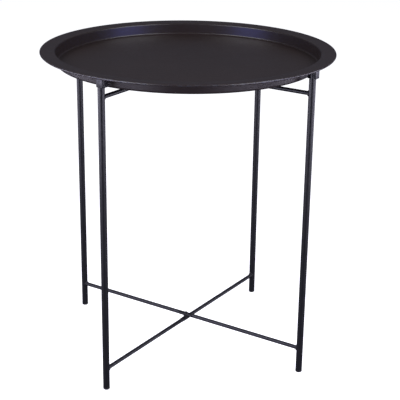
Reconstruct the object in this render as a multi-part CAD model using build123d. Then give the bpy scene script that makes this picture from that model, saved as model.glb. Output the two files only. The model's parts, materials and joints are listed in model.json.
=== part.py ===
from build123d import *
import math
import os

# Folding tray table: a round sheet-metal tray that lifts off two flat tube frames.
# The frames cross at right angles and fold together about two rivets on one vertical axis.
# Units are millimetres. Z is up, the floor is Z = 0 and the fold axis is the Z axis.
# The inner frame lies along X and the outer frame lies along Y.

# Driving dimensions: tray
TRAY_DIAMETER = 465.0
RIM_HEIGHT = 504.0
TRAY_DEPTH = 19.5
FLOOR_RADIUS = 206.5
FLANGE_INNER_RADIUS = 208.5
FLANGE_RISE = 1.0
SHEET = 0.8
RIM_BEAD_RADIUS = 1.6
RIM_CURL_DEG = 282.0
FLOOR_BEND_RADIUS = 3.0
LIP_BEND_RADIUS = 1.8

# Driving dimensions: frames
LEG_CIRCLE_RADIUS = 222.0
LEG_DIAMETER = 10.6
LEG_WALL = 1.0
BAR_DIAMETER = 6.4
BAR_STEP = 7.0
LOWER_BAR_HEIGHT = 35.0
UPPER_BAR_HEIGHT = 472.2
WELD_RADIUS = 4.7
WELD_LENGTH = 2.2
WELD_WRAP = 1.8
WELD_TOE = 0.2
WELD_SHOULDER = 0.8
WELD_SHOULDER_LENGTH = 0.8

# Driving dimensions: flattened middle of each crossbar and its pivot
FLAT_THICKNESS = 4.2
FLAT_WIDTH = 8.8
FLAT_HALF_LENGTH = 10.0
FLAT_RAMP = 5.0
PAD_TIP_HALF_WIDTH = 2.2
PAD_EDGE_RADIUS = 1.7
RIVET_DIAMETER = 4.0
PIVOT_CLEARANCE = 0.05
FACE_GAP = 0.1
SPACER_DIAMETER = 8.0
RIVET_HEAD_DIAMETER = 6.8
RIVET_HEAD_HEIGHT = 1.6
RIVET_HEAD_EDGE = 1.3
RIVET_TAIL_DIAMETER = 6.0
RIVET_TAIL_HEIGHT = 1.2
RIVET_TAIL_EDGE = 0.7

# Driving dimensions: plastic ends of the legs
FOOT_HEIGHT = 4.0
FOOT_EDGE_RADIUS = 2.0
PLUG_HEIGHT = 1.4
PLUG_EDGE_RADIUS = 1.0
INSERT_LENGTH = 12.0
SEAT_GAP = 0.4

# Driving dimensions: leg clips under the tray
CLIP_SHEET = 1.2
CLIP_SIDE_GAP = 0.5
CLIP_STOP_GAP = 2.8
CLIP_OPEN_REACH = 3.5
CLIP_BEND_RADIUS = 1.5
CLIP_HEIGHT = 14.6
CLIP_WELD_LEG = 2.2
CLIP_WELD_LENGTH = 7.0

# Worked-out sizes
TRAY_RADIUS = TRAY_DIAMETER / 2
LEG_RADIUS = LEG_DIAMETER / 2
BORE_RADIUS = LEG_RADIUS - LEG_WALL
BAR_RADIUS = BAR_DIAMETER / 2
FLAT_HALF_THICKNESS = FLAT_THICKNESS / 2
FLOOR_Z = RIM_HEIGHT - TRAY_DEPTH
BEAD_CENTRE_R = TRAY_RADIUS - RIM_BEAD_RADIUS
BEAD_CENTRE_Z = RIM_HEIGHT - RIM_BEAD_RADIUS
FLANGE_RUN = BEAD_CENTRE_R - FLANGE_INNER_RADIUS
FLANGE_ANGLE = math.degrees(math.atan2(FLANGE_RISE, FLANGE_RUN))
FLANGE_TOP_AT_LEG = RIM_HEIGHT - FLANGE_RISE * (BEAD_CENTRE_R - LEG_CIRCLE_RADIUS) / FLANGE_RUN
PLUG_TOP_Z = FLANGE_TOP_AT_LEG - SHEET - SEAT_GAP
LEG_TOP_Z = PLUG_TOP_Z - PLUG_HEIGHT


def save(node, shape):
    shape.label = node
    export_step(shape, "parts/" + node + ".step")


def upright(radius, z_low, z_high, x=0.0, y=0.0):
    """A vertical cylinder between two heights."""
    rod = Cylinder(radius, z_high - z_low, align=(Align.CENTER, Align.CENTER, Align.MIN))
    return Pos(x, y, z_low) * rod


def around(angle, shape):
    """Turn a shape about the fold axis."""
    return Rot(0, 0, angle) * shape


# Tray: one drawn sheet with a flange that climbs a little outwards and a rim curled under it

def corner_offset(point, before, after, distance):
    """Where a bend's corner moves to when both of its sides shift by distance."""
    share = distance / (1 + before[0] * after[0] + before[1] * after[1])
    return (point[0] + share * (before[0] + after[0]), point[1] + share * (before[1] + after[1]))


def under_normal(start, end):
    """Unit normal on the underside of a profile line that runs outwards."""
    run = end[0] - start[0]
    rise = end[1] - start[1]
    length = math.hypot(run, rise)
    return (rise / length, -run / length)


def tray_corners():
    """Upper-side corners of the tray's section as (radius, height), ending on the bead."""
    lean = math.radians(90 + FLANGE_ANGLE)
    bead_top = (
        BEAD_CENTRE_R + RIM_BEAD_RADIUS * math.cos(lean),
        BEAD_CENTRE_Z + RIM_BEAD_RADIUS * math.sin(lean),
    )
    lip = (FLANGE_INNER_RADIUS, RIM_HEIGHT - FLANGE_RISE)
    return [(0, FLOOR_Z), (FLOOR_RADIUS, FLOOR_Z), lip, bead_top]


def underside_corners(upper):
    """The same corners on the sheet's underside."""
    floor_side = under_normal(upper[0], upper[1])
    wall_side = under_normal(upper[1], upper[2])
    flange_side = under_normal(upper[2], upper[3])
    return [
        (0, FLOOR_Z - SHEET),
        corner_offset(upper[1], floor_side, wall_side, SHEET),
        corner_offset(upper[2], wall_side, flange_side, SHEET),
        (upper[3][0] + SHEET * flange_side[0], upper[3][1] + SHEET * flange_side[1]),
    ]


def tray_pan():
    upper = tray_corners()
    under = underside_corners(upper)
    start = 90 + FLANGE_ANGLE
    bead_centre = (BEAD_CENTRE_R, BEAD_CENTRE_Z)
    with BuildSketch(Plane.XZ) as section:
        with BuildLine():
            FilletPolyline(*upper, radius=(FLOOR_BEND_RADIUS, LIP_BEND_RADIUS + SHEET))
            outside = CenterArc(bead_centre, RIM_BEAD_RADIUS, start, -RIM_CURL_DEG)
            inside = CenterArc(bead_centre, RIM_BEAD_RADIUS - SHEET, start, -RIM_CURL_DEG)
            Line(outside @ 1, inside @ 1)
            FilletPolyline(*under, radius=(FLOOR_BEND_RADIUS + SHEET, LIP_BEND_RADIUS))
            Line(under[0], upper[0])
        make_face()
    return revolve(section.sketch, Axis.Z)


def space_under_flange():
    """A ring below the flange, used to trim the clips and their welds to its slope."""
    lip, bead_top = underside_corners(tray_corners())[2:]
    with BuildSketch(Plane.XZ) as section:
        with BuildLine():
            Polyline(lip, bead_top, (bead_top[0], FLOOR_Z - SHEET), (lip[0], FLOOR_Z - SHEET), close=True)
        make_face()
    return revolve(section.sketch, Axis.Z)


# Leg clips: U-shaped strips, closed on the side that the leg turns towards

CLIP_HALF_SPAN = LEG_RADIUS + CLIP_SIDE_GAP
CLIP_STOP = LEG_RADIUS + CLIP_STOP_GAP
CLIP_LOW_Z = FLANGE_TOP_AT_LEG - SHEET - CLIP_HEIGHT


def clip_wall(grow):
    """Three sides of the strip, shifted outwards by grow from its inner faces."""
    near = LEG_CIRCLE_RADIUS - CLIP_HALF_SPAN - grow
    far = LEG_CIRCLE_RADIUS + CLIP_HALF_SPAN + grow
    stop = CLIP_STOP + grow
    return [(near, -CLIP_OPEN_REACH), (near, stop), (far, stop), (far, -CLIP_OPEN_REACH)]


def tray_clip(under_flange):
    inner = clip_wall(0)
    outer = clip_wall(CLIP_SHEET)
    with BuildPart() as clip:
        with BuildSketch(Plane.XY.offset(CLIP_LOW_Z)):
            with BuildLine():
                FilletPolyline(*inner, radius=CLIP_BEND_RADIUS)
                FilletPolyline(*outer, radius=CLIP_BEND_RADIUS + CLIP_SHEET)
                Line(inner[0], outer[0])
                Line(inner[3], outer[3])
            make_face()
        extrude(amount=CLIP_HEIGHT + FLANGE_RISE)
    return clip.part & under_flange


def clip_welds(clip, under_flange):
    """Fillet beads where the clip's stop and its inner arm meet the flange."""
    top = FLANGE_TOP_AT_LEG - SHEET
    stop_bead = Cylinder(CLIP_WELD_LEG, CLIP_WELD_LENGTH, rotation=(0, 90, 0))
    stop_bead = Pos(LEG_CIRCLE_RADIUS, CLIP_STOP + CLIP_SHEET, top) * stop_bead
    arm_bead = Cylinder(CLIP_WELD_LEG, CLIP_WELD_LENGTH, rotation=(90, 0, 0))
    arm_bead = Pos(LEG_CIRCLE_RADIUS - CLIP_HALF_SPAN - CLIP_SHEET, 0, top) * arm_bead
    reach = CLIP_HALF_SPAN + CLIP_SHEET + CLIP_WELD_LEG
    near = LEG_CIRCLE_RADIUS - CLIP_HALF_SPAN - CLIP_SHEET
    stop_side = Pos(LEG_CIRCLE_RADIUS, CLIP_STOP + CLIP_SHEET, top) * Box(
        2 * reach, reach, 2 * reach, align=(Align.CENTER, Align.MIN, Align.CENTER)
    )
    arm_side = Pos(near, 0, top) * Box(
        reach, 2 * reach, 2 * reach, align=(Align.MAX, Align.CENTER, Align.CENTER)
    )
    return [(stop_bead & stop_side & under_flange), (arm_bead & arm_side & under_flange)]


# Frames: two tube legs joined by two welded crossbars

def leg_tube():
    x = LEG_CIRCLE_RADIUS
    outside = upright(LEG_RADIUS, FOOT_HEIGHT, LEG_TOP_Z, x)
    bore = upright(BORE_RADIUS, FOOT_HEIGHT, LEG_TOP_Z, x)
    return outside - bore


def leg_cap(face_z, height, edge_radius, points_down):
    """A plastic end: a rounded head as wide as the tube, with an insert inside it."""
    head = Cylinder(LEG_RADIUS, height, align=(Align.CENTER, Align.CENTER, Align.MIN))
    head = fillet(head.edges().group_by(Axis.Z)[0], edge_radius)
    insert = upright(BORE_RADIUS, height, height + INSERT_LENGTH)
    insert = chamfer(insert.edges().group_by(Axis.Z)[-1], LEG_WALL)
    cap = head + insert
    turn = Rot(0, 0, 0) if points_down else Rot(180, 0, 0)
    return Pos(LEG_CIRCLE_RADIUS, 0, face_z) * turn * cap


def pressed_pad():
    """The widened flat at a crossbar's middle, with rounded sides, tapering into the round bar."""
    half_width = FLAT_WIDTH / 2
    tip = FLAT_HALF_LENGTH + FLAT_RAMP
    outline = [
        (-tip, -PAD_TIP_HALF_WIDTH),
        (-FLAT_HALF_LENGTH, -half_width),
        (FLAT_HALF_LENGTH, -half_width),
        (tip, -PAD_TIP_HALF_WIDTH),
        (tip, PAD_TIP_HALF_WIDTH),
        (FLAT_HALF_LENGTH, half_width),
        (-FLAT_HALF_LENGTH, half_width),
        (-tip, PAD_TIP_HALF_WIDTH),
    ]
    pad = extrude(make_face(Polyline(*outline, close=True)), FLAT_HALF_THICKNESS, both=True)
    rims = pad.edges().group_by(Axis.Z)
    return fillet(rims[0] + rims[-1], PAD_EDGE_RADIUS)


def crossbar(hole_radius):
    """A round bar along X, pressed flat and drilled at its middle, its ends coped to the legs."""
    bar = Rot(0, 90, 0) * Cylinder(BAR_RADIUS, 2 * LEG_CIRCLE_RADIUS)
    ramp_end = FLAT_HALF_LENGTH + FLAT_RAMP
    with BuildSketch(Plane.XZ) as press:
        with BuildLine():
            Polyline(
                (-ramp_end, BAR_DIAMETER),
                (-ramp_end, BAR_RADIUS),
                (-FLAT_HALF_LENGTH, FLAT_HALF_THICKNESS),
                (FLAT_HALF_LENGTH, FLAT_HALF_THICKNESS),
                (ramp_end, BAR_RADIUS),
                (ramp_end, BAR_DIAMETER),
                close=True,
            )
        make_face()
    die = extrude(press.sketch, FLAT_WIDTH, both=True)
    bar -= die
    bar -= Rot(180, 0, 0) * die
    bar += pressed_pad()
    bar -= Cylinder(hole_radius, 2 * BAR_DIAMETER)
    for side in (-1, 1):
        bar -= Pos(side * LEG_CIRCLE_RADIUS, 0, 0) * Cylinder(LEG_RADIUS, 2 * BAR_DIAMETER)
    return bar


def bar_weld():
    """The collar of weld between a crossbar's end and the leg at +X, at bar height 0."""
    face = LEG_CIRCLE_RADIUS - LEG_RADIUS
    with BuildSketch(Plane.XZ) as section:
        with BuildLine():
            Polyline(
                (face - WELD_LENGTH, 0),
                (face - WELD_LENGTH, BAR_RADIUS + WELD_TOE),
                (face - WELD_SHOULDER_LENGTH, BAR_RADIUS + WELD_SHOULDER),
                (face + WELD_WRAP, WELD_RADIUS),
                (face + WELD_WRAP, 0),
                close=True,
            )
        make_face()
    collar = revolve(section.sketch, Axis.X)
    collar -= Pos(LEG_CIRCLE_RADIUS, 0, 0) * Cylinder(LEG_RADIUS, 4 * WELD_RADIUS)
    collar -= Rot(0, 90, 0) * Cylinder(BAR_RADIUS, 2 * LEG_CIRCLE_RADIUS)
    return collar


def pivot_rivet(outer_z, inner_z):
    """A domed rivet through both flats. Its head lies above the upper bar, its tail below."""
    low = min(outer_z, inner_z) - FLAT_HALF_THICKNESS
    high = max(outer_z, inner_z) + FLAT_HALF_THICKNESS
    if outer_z < inner_z:
        high += FACE_GAP
    else:
        low -= FACE_GAP
    shank = upright(RIVET_DIAMETER / 2, low, high)
    head = upright(RIVET_HEAD_DIAMETER / 2, high, high + RIVET_HEAD_HEIGHT)
    head = fillet(head.edges().group_by(Axis.Z)[-1], RIVET_HEAD_EDGE)
    tail = upright(RIVET_TAIL_DIAMETER / 2, low - RIVET_TAIL_HEIGHT, low)
    tail = fillet(tail.edges().group_by(Axis.Z)[0], RIVET_TAIL_EDGE)
    return shank + head + tail


def pivot_spacer(outer_z, inner_z):
    """The ring that keeps the two flats apart. It stays with the outer frame."""
    low = min(outer_z, inner_z) + FLAT_HALF_THICKNESS
    high = max(outer_z, inner_z) - FLAT_HALF_THICKNESS
    if outer_z < inner_z:
        high -= FACE_GAP
    else:
        low += FACE_GAP
    return upright(SPACER_DIAMETER / 2, low, high) - upright(RIVET_DIAMETER / 2, low, high)


# Frame layout: turn about Z, names of the two sides, and the two crossbar heights

OUTER_BARS = {"bottom": LOWER_BAR_HEIGHT, "top": UPPER_BAR_HEIGHT}
INNER_BARS = {"bottom": LOWER_BAR_HEIGHT + BAR_STEP, "top": UPPER_BAR_HEIGHT - BAR_STEP}
FRAMES = {
    "outer": {"sides": {"front": -90, "back": 90}, "bars": OUTER_BARS, "bar_turn": 90, "play": 0.0},
    "inner": {"sides": {"right": 0, "left": 180}, "bars": INNER_BARS, "bar_turn": 0, "play": PIVOT_CLEARANCE},
}

for frame_name, frame in FRAMES.items():
    welds = []
    for side, angle in frame["sides"].items():
        save(frame_name + "_leg_" + side, around(angle, leg_tube()))
        foot = leg_cap(0, FOOT_HEIGHT, FOOT_EDGE_RADIUS, True)
        save(frame_name + "_foot_" + side, around(angle, foot))
        plug = leg_cap(PLUG_TOP_Z, PLUG_HEIGHT, PLUG_EDGE_RADIUS, False)
        save(frame_name + "_top_plug_" + side, around(angle, plug))
        welds += [around(angle, Pos(0, 0, z) * bar_weld()) for z in frame["bars"].values()]
    for level, z in frame["bars"].items():
        bar = crossbar(RIVET_DIAMETER / 2 + frame["play"])
        save(frame_name + "_" + level + "_crossbar", Pos(0, 0, z) * around(frame["bar_turn"], bar))
    save(frame_name + "_frame_welds", Compound(welds))

for level, name in (("bottom", "lower"), ("top", "upper")):
    save(name + "_pivot_rivet", pivot_rivet(OUTER_BARS[level], INNER_BARS[level]))
    save(name + "_pivot_spacer", pivot_spacer(OUTER_BARS[level], INNER_BARS[level]))

# Tray with its four clips, one over each leg

save("tray_pan", tray_pan())
trim = space_under_flange()
clip = tray_clip(trim)
beads = []
for frame in FRAMES.values():
    for side, angle in frame["sides"].items():
        save("tray_clip_" + side, around(angle, clip))
        beads += [around(angle, bead) for bead in clip_welds(clip, trim)]
save("tray_clip_welds", Compound(beads))
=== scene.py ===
"""Folding tray table: finished surfaces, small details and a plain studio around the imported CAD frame."""
import json
import math

import bmesh
import bpy
from mathutils import Matrix, Vector

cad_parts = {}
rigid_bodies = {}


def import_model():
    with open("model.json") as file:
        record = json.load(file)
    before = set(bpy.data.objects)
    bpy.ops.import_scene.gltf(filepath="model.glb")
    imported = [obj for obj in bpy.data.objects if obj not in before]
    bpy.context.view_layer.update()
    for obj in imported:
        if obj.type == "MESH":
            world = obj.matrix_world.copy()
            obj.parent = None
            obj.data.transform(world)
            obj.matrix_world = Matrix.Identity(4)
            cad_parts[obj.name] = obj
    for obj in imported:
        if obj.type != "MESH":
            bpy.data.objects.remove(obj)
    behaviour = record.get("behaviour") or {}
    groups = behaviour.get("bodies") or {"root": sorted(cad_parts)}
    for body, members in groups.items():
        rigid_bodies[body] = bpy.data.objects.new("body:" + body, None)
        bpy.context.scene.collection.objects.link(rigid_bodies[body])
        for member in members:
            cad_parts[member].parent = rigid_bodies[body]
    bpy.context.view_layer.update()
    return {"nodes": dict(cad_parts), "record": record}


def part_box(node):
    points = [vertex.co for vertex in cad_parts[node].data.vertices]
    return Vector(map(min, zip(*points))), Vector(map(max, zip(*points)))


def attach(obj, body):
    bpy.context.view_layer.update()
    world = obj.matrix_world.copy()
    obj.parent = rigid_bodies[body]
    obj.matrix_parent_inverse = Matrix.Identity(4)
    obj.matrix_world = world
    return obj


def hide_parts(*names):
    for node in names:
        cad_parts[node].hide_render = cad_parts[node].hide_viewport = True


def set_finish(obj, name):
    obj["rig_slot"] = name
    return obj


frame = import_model()
MM = 0.001

# Camera: a long lens in front of the table, turned from the two frames' own directions
VIEW_TURN = 33.84
CAMERA_DISTANCE = 1.7344
CAMERA_HEIGHT = 0.8849
CAMERA_PITCH = 20.10
CAMERA_PAN = 0.718
CAMERA_ROLL = 0.773
CAMERA_LENS = 100.5
CAMERA_SENSOR = 36.0


def turn(axis, degrees):
    return Matrix.Rotation(math.radians(degrees), 4, axis)


def make_camera():
    data = bpy.data.cameras.new("view_camera")
    data.lens = CAMERA_LENS
    data.sensor_width = CAMERA_SENSOR
    camera = bpy.data.objects.new("view_camera", data)
    bpy.context.scene.collection.objects.link(camera)
    place = turn("Z", VIEW_TURN) @ Matrix.Translation((0, -CAMERA_DISTANCE, CAMERA_HEIGHT))
    aim = turn("Z", -CAMERA_PAN) @ turn("X", 90 - CAMERA_PITCH) @ turn("Z", CAMERA_ROLL)
    camera.matrix_world = place @ aim
    bpy.context.scene.camera = camera


make_camera()
scene = bpy.context.scene
scene.view_settings.view_transform = "Standard"
scene.view_settings.look = "None"


# Mesh helpers. A section is a list of (radius, height, wear): wear is how much its paint gets rubbed.

SHARP_EDGE = math.radians(38)
ON_AXIS = 1e-7


def add_piece(name, verts, faces, wear, body, slot, *nodes):
    """Make a closed mesh object that rides on a body and stands for CAD nodes."""
    mesh = bpy.data.meshes.new(name)
    mesh.from_pydata(verts, [], faces)
    attribute = mesh.attributes.new("wear", "FLOAT", "POINT")
    attribute.data.foreach_set("value", wear)
    bm = bmesh.new()
    bm.from_mesh(mesh)
    bmesh.ops.recalc_face_normals(bm, faces=bm.faces)
    for edge in bm.edges:
        edge.smooth = edge.calc_face_angle(0) < SHARP_EDGE
    for face in bm.faces:
        face.smooth = True
    bm.to_mesh(mesh)
    bm.free()
    piece = bpy.data.objects.new(name, mesh)
    scene.collection.objects.link(piece)
    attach(piece, body)
    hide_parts(*nodes)
    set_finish(piece, slot)
    return piece


class Shape:
    """Vertices, faces and wear of a mesh that is put together from several closed shells."""

    def __init__(self):
        self.verts, self.faces, self.wear = [], [], []

    def point(self, place, wear=0.0):
        self.verts.append(tuple(place))
        self.wear.append(wear)
        return len(self.verts) - 1

    def band(self, ring_a, ring_b):
        """Faces between two rings of the same length, or between a ring and a single point."""
        count = max(len(ring_a), len(ring_b))
        for k in range(count):
            a, a_next = ring_a[k % len(ring_a)], ring_a[(k + 1) % len(ring_a)]
            b, b_next = ring_b[k % len(ring_b)], ring_b[(k + 1) % len(ring_b)]
            corners = [a, b, b_next, a_next]
            self.faces.append(tuple(dict.fromkeys(corners)))

    def lathe(self, section, steps, centre=(0.0, 0.0), closed=False):
        """Turn a section about an upright axis. An open section starts and ends on the axis."""
        rings = []
        for radius, height, wear in section:
            count = steps if radius > ON_AXIS else 1
            ring = []
            for k in range(count):
                angle = 2 * math.pi * k / steps
                x, y = centre[0] + radius * math.cos(angle), centre[1] + radius * math.sin(angle)
                ring.append(self.point((x, y, height), wear))
            rings.append(ring)
        for ring_a, ring_b in zip(rings, rings[1:]):
            if len(ring_a) > 1 or len(ring_b) > 1:
                self.band(ring_a, ring_b)
        if closed:
            self.band(rings[-1], rings[0])

    def tube(self, rings, closed=False):
        """Skin a list of rings, each a list of (place, wear), with flat or pointed ends."""
        made = [[self.point(place, wear) for place, wear in ring] for ring in rings]
        for ring_a, ring_b in zip(made, made[1:]):
            self.band(ring_a, ring_b)
        if closed:
            self.band(made[-1], made[0])
            return
        for ring, ends in ((made[0], rings[0]), (made[-1], rings[-1])):
            middle = sum((Vector(place) for place, wear in ends), Vector()) / len(ends)
            self.band(ring, [self.point(middle)])

    def spin(self, degrees):
        """The same shape turned about the fold axis."""
        turned = Shape()
        matrix = turn("Z", degrees)
        turned.verts = [tuple(matrix @ Vector(v)) for v in self.verts]
        turned.faces, turned.wear = list(self.faces), list(self.wear)
        return turned

    def join(self, other):
        first = len(self.verts)
        self.verts += other.verts
        self.wear += other.wear
        self.faces += [tuple(first + k for k in face) for face in other.faces]

    def finish(self, name, body, slot, *nodes):
        return add_piece(name, self.verts, self.faces, self.wear, body, slot, *nodes)


def rounded(corners, radii, steps=8):
    """The points of a flat line through corners, with an arc of each radius at its inner corners."""
    points = [Vector(corners[0])]
    for before, corner, after, radius in zip(corners, corners[1:], corners[2:], radii):
        corner = Vector(corner)
        back, ahead = (Vector(before) - corner).normalized(), (Vector(after) - corner).normalized()
        half = back.angle(ahead) / 2
        centre = corner + (back + ahead).normalized() * radius / math.sin(half)
        reach = radius / math.tan(half)
        first, last = corner + back * reach - centre, corner + ahead * reach - centre
        sweep = math.pi - 2 * half
        for k in range(steps + 1):
            share = k / steps
            arm = first * math.sin((1 - share) * sweep) + last * math.sin(share * sweep)
            points.append(centre + arm / math.sin(sweep))
    points.append(Vector(corners[-1]))
    return points


def smooth_step(value):
    value = min(max(value, 0.0), 1.0)
    return value * value * (3 - 2 * value)


def mix(first, second, share):
    return first + (second - first) * share


# Tray pan: floor, wall, flange and a rim curled under, turned from one section of sheet

PAN_LOW, PAN_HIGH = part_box("tray_pan")
SHEET = 0.8 * MM
RIM_BEAD = 1.6 * MM
RIM_CURL = 282
FLOOR_EDGE = 206.5 * MM
LIP_EDGE = 208.5 * MM
FLANGE_CLIMB = 1.0 * MM
FLOOR_BEND = 3.0 * MM
LIP_BEND = 1.8 * MM
RIM_RADIUS = PAN_HIGH.x - RIM_BEAD
FLOOR_Z = PAN_LOW.z + SHEET
RIM_TOP = PAN_HIGH.z
BEAD_Z = RIM_TOP - RIM_BEAD
FLANGE_SLOPE = FLANGE_CLIMB / (RIM_RADIUS - LIP_EDGE)
PAN_STEPS = 288
BEND_STEPS = 10
CURL_STEPS = 30
CURL_WORN_STEPS = 16
LIP_WEAR = 0.25
LIP_WORN_INSIDE = 1 * MM
LIP_WORN_OUTSIDE = 3 * MM
FLOOR_RINGS_MM = (10, 40, 70, 100, 130, 160, 185)


def flange_under(radius):
    """Height of the flange's underside at a radius."""
    return RIM_TOP - FLANGE_SLOPE * (RIM_RADIUS - radius) - SHEET


def pan_section():
    lean = math.pi / 2 + math.atan(FLANGE_SLOPE)
    bead_arm = Vector((math.cos(lean), math.sin(lean)))
    centre = Vector((RIM_RADIUS, BEAD_Z))
    lip = Vector((LIP_EDGE, RIM_TOP - FLANGE_CLIMB))
    upper = [(0, FLOOR_Z), (FLOOR_EDGE, FLOOR_Z), lip, centre + bead_arm * RIM_BEAD]
    wall = Vector(lip) - Vector(upper[1])
    wall_out = Vector((wall.y, -wall.x)).normalized()
    floor_under = FLOOR_Z - SHEET
    corner_shift = SHEET * (wall_out.x + wall_out.y) / (1 - wall_out.y)
    corner_under = Vector((FLOOR_EDGE + corner_shift, floor_under))
    lip_under = Vector((LIP_EDGE + SHEET * wall_out.x, flange_under(LIP_EDGE + SHEET)))
    under = [(0, floor_under), corner_under, lip_under, centre + bead_arm * (RIM_BEAD - SHEET)]
    top_side = rounded(upper, (FLOOR_BEND, LIP_BEND + SHEET), BEND_STEPS)
    low_side = rounded(under, (FLOOR_BEND + SHEET, LIP_BEND), BEND_STEPS)
    section = []
    for r, z in top_side:
        at_lip = LIP_EDGE - LIP_WORN_INSIDE < r < LIP_EDGE + LIP_WORN_OUTSIDE
        section.append((r, z, LIP_WEAR if at_lip else 0.0))
    curl = []
    inwards = range(CURL_STEPS + 1)
    for radius, order in ((RIM_BEAD, inwards), (RIM_BEAD - SHEET, reversed(inwards))):
        for k in order:
            angle = lean - math.radians(RIM_CURL) * k / CURL_STEPS
            arm = Vector((math.cos(angle), math.sin(angle)))
            spot = centre + arm * radius
            outside = radius == RIM_BEAD and k < CURL_WORN_STEPS
            curl.append((spot.x, spot.y, 1.0 if outside else 0.0))
    section += curl
    section += [(r, z, 0.0) for r, z in reversed(low_side)]
    return section


def floor_rings(section):
    """Break the wide flat floor into rings, so that its mesh is even."""
    inner = [(section[0][0], section[0][1], 0.0)]
    for radius in FLOOR_RINGS_MM:
        inner.append((radius * MM, section[0][1], 0.0))
    outer = list(reversed([(r, section[-1][1], w) for r, z, w in inner]))
    return inner + section[1:-1] + outer


def make_tray():
    pan = Shape()
    pan.lathe(floor_rings(pan_section()), PAN_STEPS)
    pan.finish("tray_pan_sheet", "tray", "tray_powder_coat", "tray_pan")


# Leg clips: a bent strip over each leg top, with its upper edge cut to the flange's slope

LEG_LOW, LEG_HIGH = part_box("inner_leg_right")
LEG_CIRCLE = (LEG_LOW.x + LEG_HIGH.x) / 2
LEG_RADIUS = (LEG_HIGH.y - LEG_LOW.y) / 2
CLIP_LOW, CLIP_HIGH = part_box("tray_clip_right")
CLIP_SHEET = 1.2 * MM
CLIP_BEND = 1.5 * MM
CLIP_EDGE = 0.22 * MM
CLIP_SIDES = {"right": 0, "back": 90, "left": 180, "front": 270}
CLIP_EDGE_STEPS = 4
CLIP_BEAD_SIZE = 1.5 * MM
CLIP_BEAD_LENGTH = 7.0 * MM
CLIP_BEAD_POINTS = 40
CLIP_BEAD_RIPPLES = 6
CLIP_BEAD_DROP = 0.1 * MM

# A weld bead: how much it ripples and wanders, its blunt tips, and how worn its crown is
WELD_SIDES = 14
WELD_RIPPLE = 0.13
WELD_WANDER = 0.05
WELD_WANDER_RATE = 7.3
WELD_TIP = 0.02
WELD_CROWN_WEAR = 0.6


def strip_ring(middle, across, shrink):
    """A section of the strip: a tall narrow rectangle with rounded corners."""
    half = CLIP_SHEET / 2 - shrink
    low, edge = CLIP_LOW.z + shrink, CLIP_EDGE
    ring = []
    corners = ((1, 1, 0), (-1, 1, 90), (-1, -1, 180), (1, -1, 270))
    for side, level, start in corners:
        for k in range(CLIP_EDGE_STEPS):
            angle = math.radians(start + 90 * k / (CLIP_EDGE_STEPS - 1))
            offset = side * (half - edge) + edge * math.cos(angle)
            spot = middle + across * offset
            top = flange_under(spot.x) - shrink
            base = top - edge if level > 0 else low + edge
            ring.append(((spot.x, spot.y, base + edge * math.sin(angle)), 1.0))
    return ring


def make_clip():
    near, far = CLIP_LOW.x + CLIP_SHEET / 2, CLIP_HIGH.x - CLIP_SHEET / 2
    stop = CLIP_HIGH.y - CLIP_SHEET / 2
    corners = [(near, CLIP_LOW.y), (near, stop), (far, stop), (far, CLIP_LOW.y)]
    line = rounded(corners, [CLIP_BEND + CLIP_SHEET / 2] * 2, BEND_STEPS)
    rings = []
    for k, spot in enumerate(line):
        before, after = line[max(k - 1, 0)], line[min(k + 1, len(line) - 1)]
        along = (after - before).normalized()
        across = Vector((along.y, -along.x))
        if k == 0:
            rings.append(strip_ring(spot, across, CLIP_EDGE))
            spot = spot + along * CLIP_EDGE
        if k == len(line) - 1:
            rings.append(strip_ring(spot - along * CLIP_EDGE, across, 0.0))
            rings.append(strip_ring(spot, across, CLIP_EDGE))
        else:
            rings.append(strip_ring(spot, across, 0.0))
    clip = Shape()
    clip.tube(rings)
    return clip


def weld_bead(path, lift, size, ripple, closed):
    """A rippled weld bead along a path. Lift gives the outward direction at each of its points."""
    rings = []
    count = len(path)
    for k, spot in enumerate(path):
        if closed:
            along = path[(k + 1) % count] - path[k - 1]
        else:
            along = path[min(k + 1, count - 1)] - path[max(k - 1, 0)]
        along.normalize()
        up = lift[k] - along * lift[k].dot(along)
        up.normalize()
        side = along.cross(up)
        share = k / count if closed else k / (count - 1)
        scallop = 1 + WELD_RIPPLE * abs(math.sin(math.pi * ripple * share))
        scallop -= WELD_WANDER * math.sin(WELD_WANDER_RATE * share * math.pi + 1)
        if not closed:
            scallop *= math.sqrt(max(1 - (2 * share - 1) ** 4, WELD_TIP))
        ring = []
        for j in range(WELD_SIDES):
            angle = 2 * math.pi * j / WELD_SIDES
            arm = up * math.cos(angle) + side * math.sin(angle)
            ring.append((spot + arm * size * scallop, WELD_CROWN_WEAR * max(math.cos(angle), 0)))
        rings.append(ring)
    bead = Shape()
    bead.tube(rings, closed)
    return bead


def clip_beads():
    """Fillet beads outside the clip's closed end and its inner arm, under the flange."""
    beads = Shape()
    for across_stop in (True, False):
        path, lift = [], []
        for k in range(CLIP_BEAD_POINTS):
            along = (k / (CLIP_BEAD_POINTS - 1) - 0.5) * CLIP_BEAD_LENGTH
            if across_stop:
                spot = Vector((LEG_CIRCLE + along, CLIP_HIGH.y, 0))
                out = Vector((0, 1, -1))
            else:
                spot = Vector((CLIP_LOW.x, along, 0))
                out = Vector((-1, 0, -1))
            spot.z = flange_under(spot.x) - CLIP_BEAD_DROP
            path.append(spot)
            lift.append(out.normalized())
        beads.join(weld_bead(path, lift, CLIP_BEAD_SIZE, CLIP_BEAD_RIPPLES, False))
    beads.verts = [(x, y, min(z, flange_under(x) + SHEET / 3)) for x, y, z in beads.verts]
    return beads


def make_clips():
    beads = Shape()
    for side, angle in CLIP_SIDES.items():
        clip = make_clip().spin(angle)
        clip.finish("clip_strip_" + side, "tray", "clip_powder_coat", "tray_clip_" + side)
        beads.join(clip_beads().spin(angle))
    beads.finish("clip_weld_beads", "tray", "clip_powder_coat", "tray_clip_welds")


# Crossbars: round bars pressed flat where they cross, and the weld beads at their ends

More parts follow.
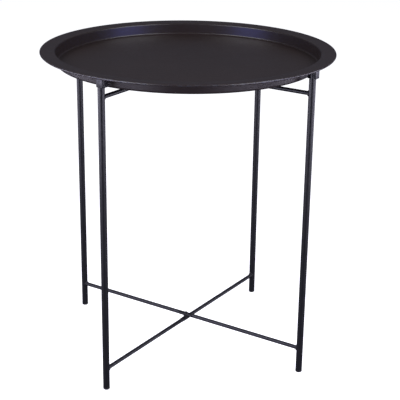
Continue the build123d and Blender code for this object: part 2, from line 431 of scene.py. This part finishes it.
PAD_HALF_LENGTH = 10.0 * MM
PAD_RAMP = 5.0 * MM
PAD_HALF_THICKNESS = 2.1 * MM
PAD_SQUARENESS = 3.6
PAD_WEAR = 0.25
BAR_STEPS = 48
BAR_SPANS = 8
BAR_BEAD_SIZE = 1.25 * MM
BAR_BEAD_POINTS = 96
BAR_BEAD_RIPPLES = 11
BAR_BEAD_LIFT = 0.3 * MM
BAR_BEAD_SAG = 0.25
BAR_BEAD_LEAN = -0.8
BAR_BEAD_SHIFT = 2.1


def bar_size(node):
    """Height, radius and pad half-width of a crossbar that lies along X or Y."""
    low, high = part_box(node)
    thin = min(high.x - low.x, high.y - low.y)
    return (low.z + high.z) / 2, (high.z - low.z) / 2, thin / 2


def bar_ring(x, height, radius, pad_half_width, at_end):
    flat = 1 - smooth_step((abs(x) - PAD_HALF_LENGTH) / PAD_RAMP)
    width = mix(radius, pad_half_width, flat)
    rise = mix(radius, PAD_HALF_THICKNESS, flat)
    power = 2 / mix(2.0, PAD_SQUARENESS, flat)
    ring = []
    for k in range(BAR_STEPS):
        angle = 2 * math.pi * k / BAR_STEPS
        c, s = math.cos(angle), math.sin(angle)
        y = width * math.copysign(abs(c) ** power, c)
        z = rise * math.copysign(abs(s) ** power, s)
        reach = x
        if at_end:
            reach = math.copysign(LEG_CIRCLE - math.sqrt(LEG_RADIUS**2 - y * y), x)
        ring.append(((reach, y, height + z), PAD_WEAR * flat))
    return ring


def crossbar(node):
    height, radius, pad_half_width = bar_size(node)
    end = LEG_CIRCLE - LEG_RADIUS
    ramp_end = PAD_HALF_LENGTH + PAD_RAMP
    places = [mix(PAD_HALF_LENGTH, ramp_end, k / BAR_SPANS) for k in range(BAR_SPANS)]
    places += [mix(ramp_end, end, k / BAR_SPANS) for k in range(BAR_SPANS + 1)]
    places = [-x for x in reversed(places)] + [0.0] + places
    last = len(places) - 1
    rings = [bar_ring(x, height, radius, pad_half_width, k in (0, last)) for k, x in enumerate(places)]
    bar = Shape()
    bar.tube(rings)
    return bar


def bar_bead(height, radius, shift):
    """The bead round a crossbar's end, on the seam where the bar meets the leg at +X."""
    path, lift = [], []
    for k in range(BAR_BEAD_POINTS):
        angle = 2 * math.pi * k / BAR_BEAD_POINTS
        y, z = radius * math.cos(angle), radius * math.sin(angle)
        seam = LEG_CIRCLE - math.sqrt(LEG_RADIUS**2 - y * y)
        out = Vector((BAR_BEAD_LEAN, math.cos(angle), math.sin(angle))).normalized()
        sag = 1 + BAR_BEAD_SAG * math.sin(angle + shift) - BAR_BEAD_SAG * math.sin(angle)
        path.append(Vector((seam, y, height + z)) + out * BAR_BEAD_LIFT * sag)
        lift.append(out)
    return weld_bead(path, lift, BAR_BEAD_SIZE, BAR_BEAD_RIPPLES, True)


def make_crossbars():
    frames = {"outer": (90, ("front", "back"), (-90, 90)), "inner": (0, ("right", "left"), (0, 180))}
    for name, (bar_turn, sides, angles) in frames.items():
        beads = Shape()
        body = name + "_frame"
        for level in ("bottom", "top"):
            node = name + "_" + level + "_crossbar"
            crossbar(node).spin(bar_turn).finish(node + "_bar", body, "frame_powder_coat", node)
            height, radius, pad_half_width = bar_size(node)
            for end, angle in enumerate(angles):
                beads.join(bar_bead(height, radius, BAR_BEAD_SHIFT * end).spin(angle))
        beads.finish(name + "_weld_beads", body, "frame_powder_coat", name + "_frame_welds")


# Pivots: a domed rivet with a hollow turned-over tail, and a nylon spacer

RIVET_HEAD_HEIGHT = 1.6 * MM
RIVET_TAIL_HEIGHT = 1.2 * MM
RIVET_TAIL_RADIUS = 3.0 * MM
RIVET_SHANK_RADIUS = 2.0 * MM
RIVET_PIT_RADIUS = 1.1 * MM
RIVET_PIT_DEPTH = 1.6 * MM
SPACER_CHAMFER = 0.25 * MM
DOME_STEPS = 12
DOME_BAND = 0.3 * MM
DOME_CHAMFER = 0.1 * MM
DOME_FULLNESS = (0.8, 0.9)
TAIL_ROLL = 0.5 * MM
TAIL_SHOULDER = 0.4 * MM
TAIL_TAPER = 0.15 * MM
TAIL_EDGE = 0.3 * MM
TAIL_FALL = 0.1 * MM
RIVET_STEPS = 48
SPACER_STEPS = 64


def rivet_section(low_z, high_z, head_radius):
    under_head, over_tail = high_z - RIVET_HEAD_HEIGHT, low_z + RIVET_TAIL_HEIGHT
    section = [(0.0, high_z, 0.6)]
    for k in range(1, DOME_STEPS + 1):
        angle = math.radians(90 - 90 * k / DOME_STEPS)
        spread, rise = math.cos(angle) ** DOME_FULLNESS[0], math.sin(angle) ** DOME_FULLNESS[1]
        height = under_head + DOME_BAND + (RIVET_HEAD_HEIGHT - DOME_BAND) * rise
        section.append((head_radius * spread, height, 0.9))
    section += [(head_radius, under_head + DOME_CHAMFER, 0.6), (head_radius - DOME_CHAMFER, under_head, 0.0)]
    section += [(RIVET_SHANK_RADIUS, under_head, 0.0), (RIVET_SHANK_RADIUS, over_tail, 0.0)]
    roll = RIVET_TAIL_RADIUS - TAIL_ROLL
    section += [(roll, over_tail, 0.0), (RIVET_TAIL_RADIUS, over_tail - TAIL_SHOULDER, 0.8)]
    section += [(RIVET_TAIL_RADIUS - TAIL_TAPER, low_z + TAIL_EDGE, 0.9), (roll, low_z, 1.0)]
    section += [(RIVET_PIT_RADIUS + TAIL_ROLL, low_z + TAIL_FALL, 0.9)]
    section += [(RIVET_PIT_RADIUS, low_z + TAIL_ROLL, 0.3), (RIVET_PIT_RADIUS, low_z + RIVET_PIT_DEPTH, 0.0)]
    section += [(0.0, low_z + RIVET_PIT_DEPTH + TAIL_EDGE, 0.0)]
    return section


def make_pivots():
    for level in ("upper", "lower"):
        low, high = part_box(level + "_pivot_rivet")
        rivet = Shape()
        rivet.lathe(rivet_section(low.z, high.z, (high.x - low.x) / 2), RIVET_STEPS)
        rivet.finish(level + "_rivet", "outer_frame", "pivot_rivet_paint", level + "_pivot_rivet")

        low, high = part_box(level + "_pivot_spacer")
        radius, cut = (high.x - low.x) / 2, SPACER_CHAMFER
        ring = [(RIVET_SHANK_RADIUS, low.z), (radius - cut, low.z), (radius, low.z + cut)]
        ring += [(radius, high.z - cut), (radius - cut, high.z), (RIVET_SHANK_RADIUS, high.z)]
        spacer = Shape()
        spacer.lathe([(r, z, 0.0) for r, z in ring], SPACER_STEPS, closed=True)
        spacer.finish(level + "_spacer", "outer_frame", "pivot_spacer_plastic", level + "_pivot_spacer")


# Plastic leg ends: feet with a moulded recess and top plugs with a gate dimple

INSERT_RADIUS = LEG_RADIUS - 1.0 * MM
INSERT_CHAMFER = 1.0 * MM
END_SHADOW_LINE = 0.25 * MM
DIMPLE_DEPTH = 0.7 * MM
DIMPLE_FLOOR_RADIUS = 1.6 * MM
DIMPLE_SIDE_RADIUS = 1.9 * MM
DIMPLE_EDGE_RADIUS = 2.1 * MM
DIMPLE_EDGE_DROP = 0.1 * MM
FOOT_HEIGHT, FOOT_BEND = 4.0 * MM, 2.0 * MM
PLUG_HEIGHT, PLUG_BEND = 1.4 * MM, 1.0 * MM
CAP_STEPS = 64
CAP_BEND_STEPS = 8


def cap_section(height, bend, whole):
    """A cap with its head from height 0 up, an insert above it, and a dimple in its outer face."""
    section = [(0.0, DIMPLE_DEPTH, 0.0), (DIMPLE_FLOOR_RADIUS, DIMPLE_DEPTH, 0.0)]
    section += [(DIMPLE_SIDE_RADIUS, DIMPLE_EDGE_DROP, 0.0), (DIMPLE_EDGE_RADIUS, 0.0, 0.3)]
    for k in range(CAP_BEND_STEPS + 1):
        angle = math.radians(-90 + 90 * k / CAP_BEND_STEPS)
        spot = (LEG_RADIUS - bend + bend * math.cos(angle), bend + bend * math.sin(angle))
        section.append((*spot, 0.7))
    section += [(LEG_RADIUS, height - 2 * END_SHADOW_LINE, 0.3)]
    section += [(LEG_RADIUS - END_SHADOW_LINE, height - END_SHADOW_LINE, 0.0)]
    section += [(LEG_RADIUS - END_SHADOW_LINE, height, 0.0), (INSERT_RADIUS, height, 0.0)]
    section += [(INSERT_RADIUS, whole - INSERT_CHAMFER, 0.0)]
    section += [(INSERT_RADIUS - INSERT_CHAMFER, whole, 0.0), (0.0, whole, 0.0)]
    return section


def make_leg_ends():
    for node in frame["nodes"]:
        foot = "_foot_" in node
        if not foot and "_top_plug_" not in node:
            continue
        low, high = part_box(node)
        centre = ((low.x + high.x) / 2, (low.y + high.y) / 2)
        whole = high.z - low.z
        if foot:
            section = [(r, low.z + z, w) for r, z, w in cap_section(FOOT_HEIGHT, FOOT_BEND, whole)]
        else:
            section = [(r, high.z - z, w) for r, z, w in cap_section(PLUG_HEIGHT, PLUG_BEND, whole)]
        cap = Shape()
        cap.lathe(section, CAP_STEPS, centre)
        body = "outer_frame" if node.startswith("outer") else "inner_frame"
        name = node.replace("_foot_", "_foot_cap_").replace("_top_plug_", "_top_cap_")
        cap.finish(name, body, "end_cap_plastic", node)


make_tray()
make_clips()
make_crossbars()
make_pivots()
make_leg_ends()


# Materials

class Graph:
    """A small builder for one material's node tree."""

    def __init__(self, name):
        self.material = bpy.data.materials.new(name)
        self.material.use_nodes = True
        self.tree = self.material.node_tree
        self.tree.nodes.clear()
        self.shader = self.add("ShaderNodeBsdfPrincipled")
        output = self.add("ShaderNodeOutputMaterial")
        self.join(self.shader.outputs["BSDF"], output.inputs["Surface"])

    def add(self, kind, **settings):
        node = self.tree.nodes.new(kind)
        for key, value in settings.items():
            setattr(node, key, value)
        return node

    def join(self, source, target):
        self.tree.links.new(source, target)

    def set(self, **values):
        for key, value in values.items():
            self.shader.inputs[key.replace("_", " ")].default_value = value

    def noise(self, scale, detail=2.0, rough=0.5, warp=0.0):
        place = self.add("ShaderNodeTexCoord").outputs["Object"]
        node = self.add("ShaderNodeTexNoise")
        node.inputs["Scale"].default_value = scale
        node.inputs["Detail"].default_value = detail
        node.inputs["Roughness"].default_value = rough
        node.inputs["Distortion"].default_value = warp
        self.join(place, node.inputs["Vector"])
        return node.outputs["Fac"]

    def remap(self, value, low, high, start=0.3, end=0.7):
        node = self.add("ShaderNodeMapRange")
        node.inputs["From Min"].default_value = start
        node.inputs["From Max"].default_value = end
        node.inputs["To Min"].default_value = low
        node.inputs["To Max"].default_value = high
        self.join(value, node.inputs["Value"])
        return node.outputs["Result"]

    def math(self, operation, first, second):
        node = self.add("ShaderNodeMath", operation=operation, use_clamp=True)
        for socket, value in zip(node.inputs, (first, second)):
            if isinstance(value, (int, float)):
                socket.default_value = value
            else:
                self.join(value, socket)
        return node.outputs[0]

    def blend(self, factor, first, second):
        node = self.add("ShaderNodeMix", data_type="RGBA")
        for name, value in (("A", first), ("B", second)):
            socket = [s for s in node.inputs if s.name == name and s.type == "RGBA"][0]
            if isinstance(value, tuple):
                socket.default_value = (*value, 1)
            else:
                self.join(value, socket)
        self.join(factor, node.inputs["Factor"])
        return [s for s in node.outputs if s.type == "RGBA"][0]

    def bump(self, height, strength, distance, under=None):
        node = self.add("ShaderNodeBump")
        node.inputs["Strength"].default_value = strength
        node.inputs["Distance"].default_value = distance
        self.join(height, node.inputs["Height"])
        if under is not None:
            self.join(under, node.inputs["Normal"])
        return node.outputs["Normal"]

    def worn(self):
        """How rubbed the paint is here, from the piece's own wear values, broken up by noise."""
        value = self.add("ShaderNodeAttribute", attribute_name="wear").outputs["Fac"]
        patch = self.remap(self.noise(160.0, detail=4.0, rough=0.65), 0.0, 1.0, start=0.46, end=0.66)
        return self.math("MULTIPLY", value, patch)


GLOSS_CHANGE = 0.03
RUBBED_POLISH = 0.10
PEEL_STRENGTH = 0.30
PEEL_DEPTH = 0.06 * MM
FINE_DEPTH = 0.02 * MM
PLASTIC_GLOSS_CHANGE = 0.06
PLASTIC_GRAIN_STRENGTH = 0.4
PLASTIC_GRAIN_DEPTH = 0.04 * MM


def powder_coat(name, dark, light, rubbed, rough, grain, shine):
    """Baked powder paint: an orange-peel skin, slow changes of tone and gloss, and rubbed edges.

    Rough is the mean roughness, grain scales the depth of the skin, and shine is the specular level.
    """
    g = Graph(name)
    g.set(Specular_IOR_Level=shine)
    worn = g.worn()
    tone = g.blend(g.remap(g.noise(11.0, detail=4.0, rough=0.6), 0.0, 1.0), dark, light)
    g.join(g.blend(worn, tone, rubbed), g.shader.inputs["Base Color"])
    patches = g.noise(7.0, detail=3.0, rough=0.6, warp=0.8)
    slow = g.remap(patches, rough - GLOSS_CHANGE, rough + GLOSS_CHANGE)
    quick = g.remap(g.noise(420.0, detail=3.0), -GLOSS_CHANGE, GLOSS_CHANGE)
    gloss = g.math("ADD", slow, quick)
    polish = g.math("MULTIPLY", worn, RUBBED_POLISH)
    g.join(g.math("SUBTRACT", gloss, polish), g.shader.inputs["Roughness"])
    peel = g.bump(g.noise(850.0), PEEL_STRENGTH, PEEL_DEPTH * grain)
    fine = g.bump(g.noise(2900.0, detail=1.0), PEEL_STRENGTH, FINE_DEPTH * grain, under=peel)
    g.join(fine, g.shader.inputs["Normal"])
    return g.material


def moulded_plastic(name, dark, light, rubbed, rough):
    """Moulded black plastic: a fine spark-eroded grain, scuffed paler where it is rubbed."""
    g = Graph(name)
    worn = g.worn()
    tone = g.blend(g.remap(g.noise(60.0), 0.0, 1.0), dark, light)
    g.join(g.blend(worn, tone, rubbed), g.shader.inputs["Base Color"])
    gloss = g.remap(g.noise(300.0), rough - PLASTIC_GLOSS_CHANGE, rough + PLASTIC_GLOSS_CHANGE)
    g.join(gloss, g.shader.inputs["Roughness"])
    grain = g.bump(g.noise(2200.0), PLASTIC_GRAIN_STRENGTH, PLASTIC_GRAIN_DEPTH)
    g.join(grain, g.shader.inputs["Normal"])
    return g.material


TRAY_DARK, TRAY_LIGHT = (0.0215, 0.0140, 0.0120), (0.0262, 0.0172, 0.0148)
FRAME_DARK, FRAME_LIGHT = (0.0082, 0.0080, 0.0094), (0.0108, 0.0105, 0.0122)
RUBBED = (0.045, 0.043, 0.046)
RUBBED_RIVET = (0.09, 0.088, 0.09)
CAP_DARK, CAP_LIGHT = (0.008, 0.008, 0.009), (0.012, 0.012, 0.013)
SPACER_DARK, SPACER_LIGHT = (0.010, 0.010, 0.011), (0.014, 0.014, 0.015)
TRAY_PAINT = {"dark": TRAY_DARK, "light": TRAY_LIGHT, "rubbed": RUBBED, "shine": 0.62}
FRAME_PAINT = {"dark": FRAME_DARK, "light": FRAME_LIGHT, "rubbed": RUBBED, "shine": 0.38}
RIVET_PAINT = {"dark": FRAME_DARK, "light": FRAME_LIGHT, "rubbed": RUBBED_RIVET, "shine": 0.5}
CAP_PLASTIC = {"dark": CAP_DARK, "light": CAP_LIGHT, "rubbed": RUBBED, "rough": 0.5}
SPACER_PLASTIC = {"dark": SPACER_DARK, "light": SPACER_LIGHT, "rubbed": RUBBED, "rough": 0.45}
MATERIALS = {
    "tray_powder_coat": powder_coat("tray_powder_coat", **TRAY_PAINT, rough=0.34, grain=1.0),
    "frame_powder_coat": powder_coat("frame_powder_coat", **FRAME_PAINT, rough=0.36, grain=1.0),
    "clip_powder_coat": powder_coat("clip_powder_coat", **FRAME_PAINT, rough=0.38, grain=1.2),
    "pivot_rivet_paint": powder_coat("pivot_rivet_paint", **RIVET_PAINT, rough=0.34, grain=0.6),
    "end_cap_plastic": moulded_plastic("end_cap_plastic", **CAP_PLASTIC),
    "pivot_spacer_plastic": moulded_plastic("pivot_spacer_plastic", **SPACER_PLASTIC),
}

for part in frame["record"]["subparts"]:
    node = frame["nodes"][part["node"]]
    node.data.materials.clear()
    node.data.materials.append(MATERIALS[part["material_slot"]])
for piece in scene.objects:
    if piece.get("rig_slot"):
        piece.data.materials.append(MATERIALS[piece["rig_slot"]])


# Studio: pale floor, white surround, matching pairs of side panels and a faint light from behind

FLOOR_SIZE = 16.0
FLOOR_GLOW = 0.9
SURROUND_FILL = (0.7, 0.75, 1.0)
SURROUND_STRENGTH = 0.10


def make_floor():
    bpy.ops.mesh.primitive_circle_add(vertices=128, radius=FLOOR_SIZE / 2, fill_type="NGON")
    floor = bpy.context.object
    floor.name = "studio_floor"
    g = Graph("studio_floor_paint")
    g.set(Base_Color=(0.8, 0.8, 0.8, 1), Roughness=0.9, Specular_IOR_Level=0.1)
    g.set(Emission_Color=(1, 1, 1, 1), Emission_Strength=FLOOR_GLOW)
    floor.data.materials.append(g.material)
    floor.visible_glossy = False
    floor.visible_diffuse = False


def make_world():
    world = bpy.data.worlds.new("studio_surround")
    scene.world = world
    world.use_nodes = True
    tree = world.node_tree
    tree.nodes.clear()
    seen = tree.nodes.new("ShaderNodeBackground")
    seen.inputs["Color"].default_value = (1, 1, 1, 1)
    fill = tree.nodes.new("ShaderNodeBackground")
    fill.inputs["Color"].default_value = (*SURROUND_FILL, 1)
    fill.inputs["Strength"].default_value = SURROUND_STRENGTH
    path = tree.nodes.new("ShaderNodeLightPath")
    mix_node = tree.nodes.new("ShaderNodeMixShader")
    output = tree.nodes.new("ShaderNodeOutputWorld")
    tree.links.new(path.outputs["Is Camera Ray"], mix_node.inputs["Fac"])
    tree.links.new(fill.outputs["Background"], mix_node.inputs[1])
    tree.links.new(seen.outputs["Background"], mix_node.inputs[2])
    tree.links.new(mix_node.outputs["Shader"], output.inputs["Surface"])


def panel(name, azimuth, distance, height, width, tall, radiance, colour, aim_height=None):
    """A rectangular light of even brightness, at an azimuth measured from the camera's side."""
    data = bpy.data.lights.new(name, "AREA")
    data.shape = "RECTANGLE"
    data.size = width
    data.size_y = tall
    data.color = colour
    data.energy = radiance * width * tall * math.pi
    lamp = bpy.data.objects.new(name, data)
    lamp.visible_camera = False
    scene.collection.objects.link(lamp)
    lamp.location = turn("Z", VIEW_TURN + azimuth) @ Vector((0, -distance, height))
    target = Vector((0, 0, height if aim_height is None else aim_height))
    lamp.rotation_mode = "QUATERNION"
    lamp.rotation_quaternion = (target - lamp.location).to_track_quat("-Z", "Y")


def panel_pair(name, azimuth, size, colour, left, right):
    """The same panel on both sides of the camera, each with its own radiance."""
    panel("left_" + name, -azimuth, **size, radiance=left, colour=colour)
    panel("right_" + name, azimuth, **size, radiance=right, colour=colour)


LAVENDER = (0.84, 0.81, 1.0)
WHITE = (0.93, 0.93, 1.0)
BLUE = (0.25, 0.28, 1.0)
WARM = (1.0, 0.88, 0.86)
HIGH_PANEL = {"distance": 1.3, "height": 1.55, "width": 1.3, "tall": 0.8, "aim_height": 0.5}
LOW_PANEL = {"distance": 1.5, "height": 0.22, "width": 1.15, "tall": 0.44}
TABLE_PANEL = {"distance": 1.6, "height": 0.75, "width": 0.85, "tall": 0.55}

make_floor()
make_world()
panel_pair("high_panel", 60, HIGH_PANEL, WHITE, left=5.4, right=5.4)
panel_pair("low_panel", 45, LOW_PANEL, LAVENDER, left=6.4, right=5.6)
panel_pair("side_panel", 90, LOW_PANEL, LAVENDER, left=6.0, right=6.0)
panel_pair("blue_panel", 60, TABLE_PANEL, BLUE, left=3.0, right=3.0)
panel("back_high_panel", 180, **HIGH_PANEL, radiance=0.15, colour=WARM)
